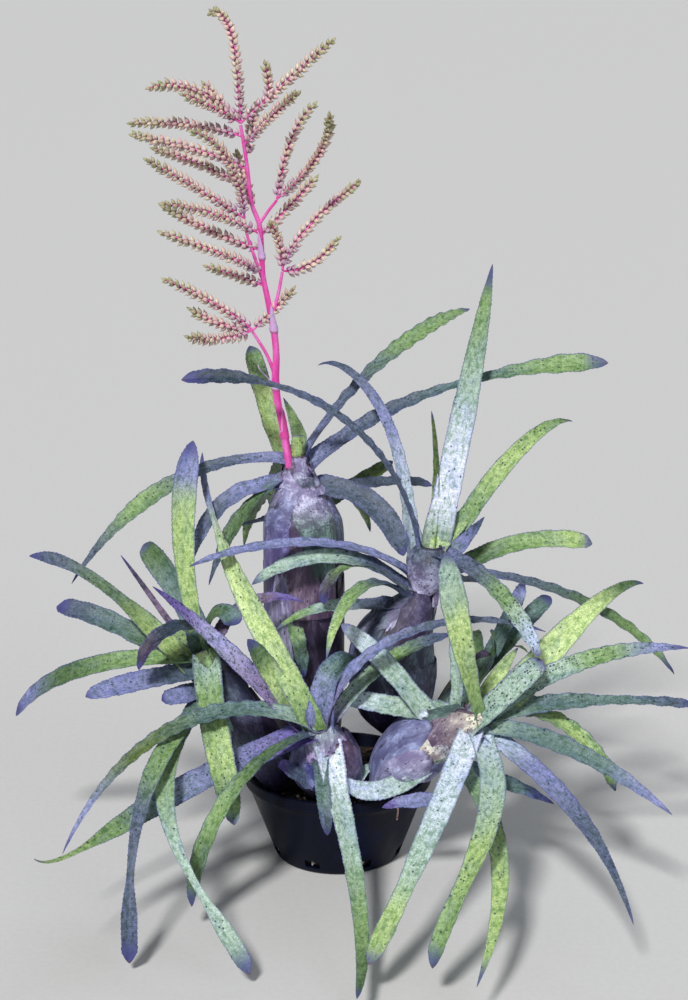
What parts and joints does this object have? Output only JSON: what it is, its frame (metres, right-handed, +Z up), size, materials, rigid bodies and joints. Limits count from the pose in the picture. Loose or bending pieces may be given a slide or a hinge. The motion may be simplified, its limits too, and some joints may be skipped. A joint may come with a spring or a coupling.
{
  "type": "potted bromeliad",
  "caption": "Clump-forming tank bromeliad with long arching strap leaves and one tall branched spray of small flower spikes, in a shallow round tapered pot.",
  "frame": {"origin": "centre of the underside of the pot's foot", "axes": "+Z up, -Y towards the viewer of the picture, +X to that viewer's right"},
  "size_m": [0.7168, 0.6551, 0.885],
  "materials": {
    "pot_plastic": "satin",
    "mix": "matte",
    "root": "matte",
    "leaf": "satin",
    "flower_stem": "satin",
    "bract": "matte",
    "flower": "satin"
  },
  "bodies": {
    "root": {"pot": "pot_plastic", "potting_mix": "mix", "loose_root": "root", "rosette_a": "leaf", "rosette_b": "leaf", "rosette_c": "leaf", "rosette_d": "leaf", "rosette_e": "leaf", "rosette_f": "leaf", "flower_stem": "flower_stem", "bract_low": "bract", "bract_middle": "bract", "bract_high": "bract", "bract_foot": "bract", "spray_top": "flower", "spray_up_right": "flower", "spray_low_right": "flower", "spray_up_left": "flower", "spray_low_left": "flower", "spike_left_1": "flower", "spike_left_2": "flower", "spike_left_3": "flower", "spike_left_4": "flower", "spike_left_5": "flower", "spike_left_6": "flower", "spike_left_7": "flower", "spike_right_1": "flower", "spike_right_2": "flower", "spike_back_1": "flower", "spike_back_2": "flower"}
  },
  "joints": []
}
